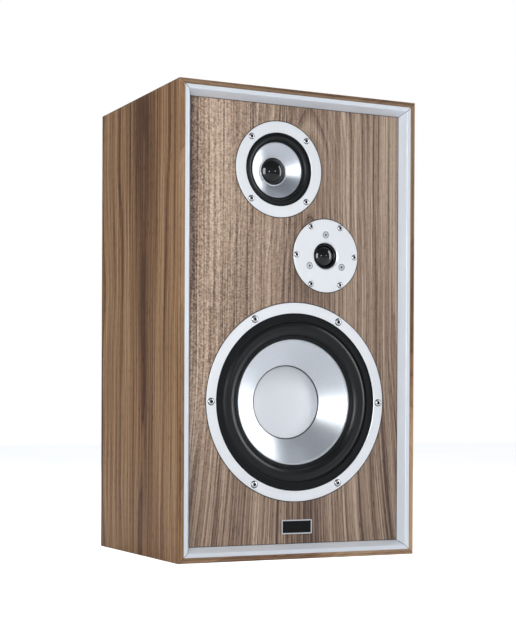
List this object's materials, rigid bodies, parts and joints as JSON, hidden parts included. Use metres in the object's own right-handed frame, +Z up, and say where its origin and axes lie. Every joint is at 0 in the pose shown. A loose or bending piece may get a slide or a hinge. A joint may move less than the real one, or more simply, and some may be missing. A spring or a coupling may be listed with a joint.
{
  "type": "bookshelf speaker",
  "caption": "Upright veneered box loudspeaker with a bevelled metal frame round the front, a bass cone, a midrange cone, a dome tweeter and rear binding posts.",
  "frame": {"origin": "centre of the cabinet's footprint, on the surface it stands on", "axes": "+Z up; the front with the drivers faces -Y; +X is to the right seen from the front"},
  "size_m": [0.34, 0.276, 0.6],
  "materials": {
    "walnut_veneer": "satin lacquer",
    "satin_trim": "satin",
    "satin_aluminium": "satin",
    "spun_aluminium": "spun",
    "gloss_black": "gloss",
    "rubber": "matte",
    "treated_cloth": "resin dipped",
    "wadding": "loose fibre",
    "bright_steel": "bright plated",
    "black_steel": "black oxide",
    "plated_brass": "gold plated",
    "black_casting": "powder coat",
    "zinc_steel": "zinc plated",
    "ferrite": "ground",
    "copper_wire": "enamelled copper",
    "black_plastic": "moulded",
    "black_gloss_plastic": "moulded",
    "red_plastic": "moulded",
    "board_laminate": "laminate",
    "capacitor_film": "film sleeve",
    "resistor_ceramic": "cast",
    "lead_jacket": "flexible jacket"
  },
  "bodies": {
    "cabinet": {"back_panel": "walnut_veneer", "badge_bezel": "satin_trim", "badge_plate": "gloss_black", "bottom_panel": "walnut_veneer", "crossover_board": "board_laminate", "crossover_capacitors": "capacitor_film", "crossover_coils": "copper_wire", "crossover_resistors": "resistor_ceramic", "crossover_spacers": "black_plastic", "cup_screws": "black_steel", "damping_pads": "wadding", "driver_tag_strips": "board_laminate", "front_baffle": "walnut_veneer", "internal_leads": "lead_jacket", "left_side_panel": "walnut_veneer", "mid_basket": "black_casting", "mid_magnet": "ferrite", "mid_pole_yoke": "zinc_steel", "mid_rear_chamber": "black_plastic", "mid_spider": "treated_cloth", "mid_surround": "rubber", "mid_tinsel_leads": "copper_wire", "mid_top_plate": "zinc_steel", "mid_trim_ring": "satin_aluminium", "post_nuts": "plated_brass", "post_shafts": "plated_brass", "right_side_panel": "walnut_veneer", "small_driver_screws": "bright_steel", "terminal_cup": "black_plastic", "top_panel": "walnut_veneer", "trim_bars_level": "satin_trim", "trim_bars_upright": "satin_trim", "tweeter_faceplate": "satin_aluminium", "tweeter_magnet": "ferrite", "tweeter_plate_screws": "bright_steel", "tweeter_pole_yoke": "zinc_steel", "tweeter_surround": "rubber", "tweeter_top_plate": "zinc_steel", "woofer_basket": "black_casting", "woofer_front_gasket": "rubber", "woofer_magnet": "ferrite", "woofer_pole_yoke": "zinc_steel", "woofer_screws": "bright_steel", "woofer_spider": "treated_cloth", "woofer_surround": "rubber", "woofer_tinsel_leads": "copper_wire", "woofer_top_plate": "zinc_steel", "woofer_trim_ring": "satin_aluminium"},
    "woofer_cone_assembly": {"woofer_cone": "spun_aluminium", "woofer_dust_cap": "spun_aluminium", "woofer_voice_coil": "copper_wire"},
    "mid_cone_assembly": {"mid_cone": "spun_aluminium", "mid_dust_cap": "gloss_black", "mid_voice_coil": "copper_wire"},
    "tweeter_dome_assembly": {"tweeter_dome": "gloss_black", "tweeter_voice_coil": "copper_wire"},
    "red_collar": {"red_clamp_collar": "plated_brass"},
    "red_cap": {"red_post_cap": "red_plastic"},
    "black_collar": {"black_clamp_collar": "plated_brass"},
    "black_cap": {"black_post_cap": "black_gloss_plastic"}
  },
  "joints": [
    {"name": "woofer_cone_travel", "type": "slide", "parent": "cabinet", "child": "woofer_cone_assembly", "axis": [0, -1, 0], "range_m": [-0.008, 0.008], "stiffness_N_per_m": 1800, "deforming": ["woofer_surround", "woofer_spider", "woofer_tinsel_leads"]},
    {"name": "mid_cone_travel", "type": "slide", "parent": "cabinet", "child": "mid_cone_assembly", "axis": [0, -1, 0], "range_m": [-0.0025, 0.0025], "stiffness_N_per_m": 2500, "deforming": ["mid_surround", "mid_spider", "mid_tinsel_leads"]},
    {"name": "tweeter_dome_travel", "type": "slide", "parent": "cabinet", "child": "tweeter_dome_assembly", "axis": [0, -1, 0], "range_m": [-0.0005, 0.0005], "stiffness_N_per_m": 2000, "deforming": ["tweeter_surround"]},
    {"name": "red_cap_lift", "type": "slide", "parent": "cabinet", "child": "red_collar", "axis": [0, 1, 0], "range_m": [0, 0.005]},
    {"name": "red_cap_turn", "type": "hinge", "parent": "red_collar", "child": "red_cap", "pos_m": [-0.019, 0.119, 0.12], "axis": [0, 1, 0], "range_deg": [0, 1800]},
    {"name": "black_cap_lift", "type": "slide", "parent": "cabinet", "child": "black_collar", "axis": [0, 1, 0], "range_m": [0, 0.005]},
    {"name": "black_cap_turn", "type": "hinge", "parent": "black_collar", "child": "black_cap", "pos_m": [0.019, 0.119, 0.12], "axis": [0, 1, 0], "range_deg": [0, 1800]}
  ],
  "couplings": [
    {"joint": "red_cap_turn", "follows": "red_cap_lift", "rad_per_m": 6283.2},
    {"joint": "black_cap_turn", "follows": "black_cap_lift", "rad_per_m": 6283.2}
  ]
}
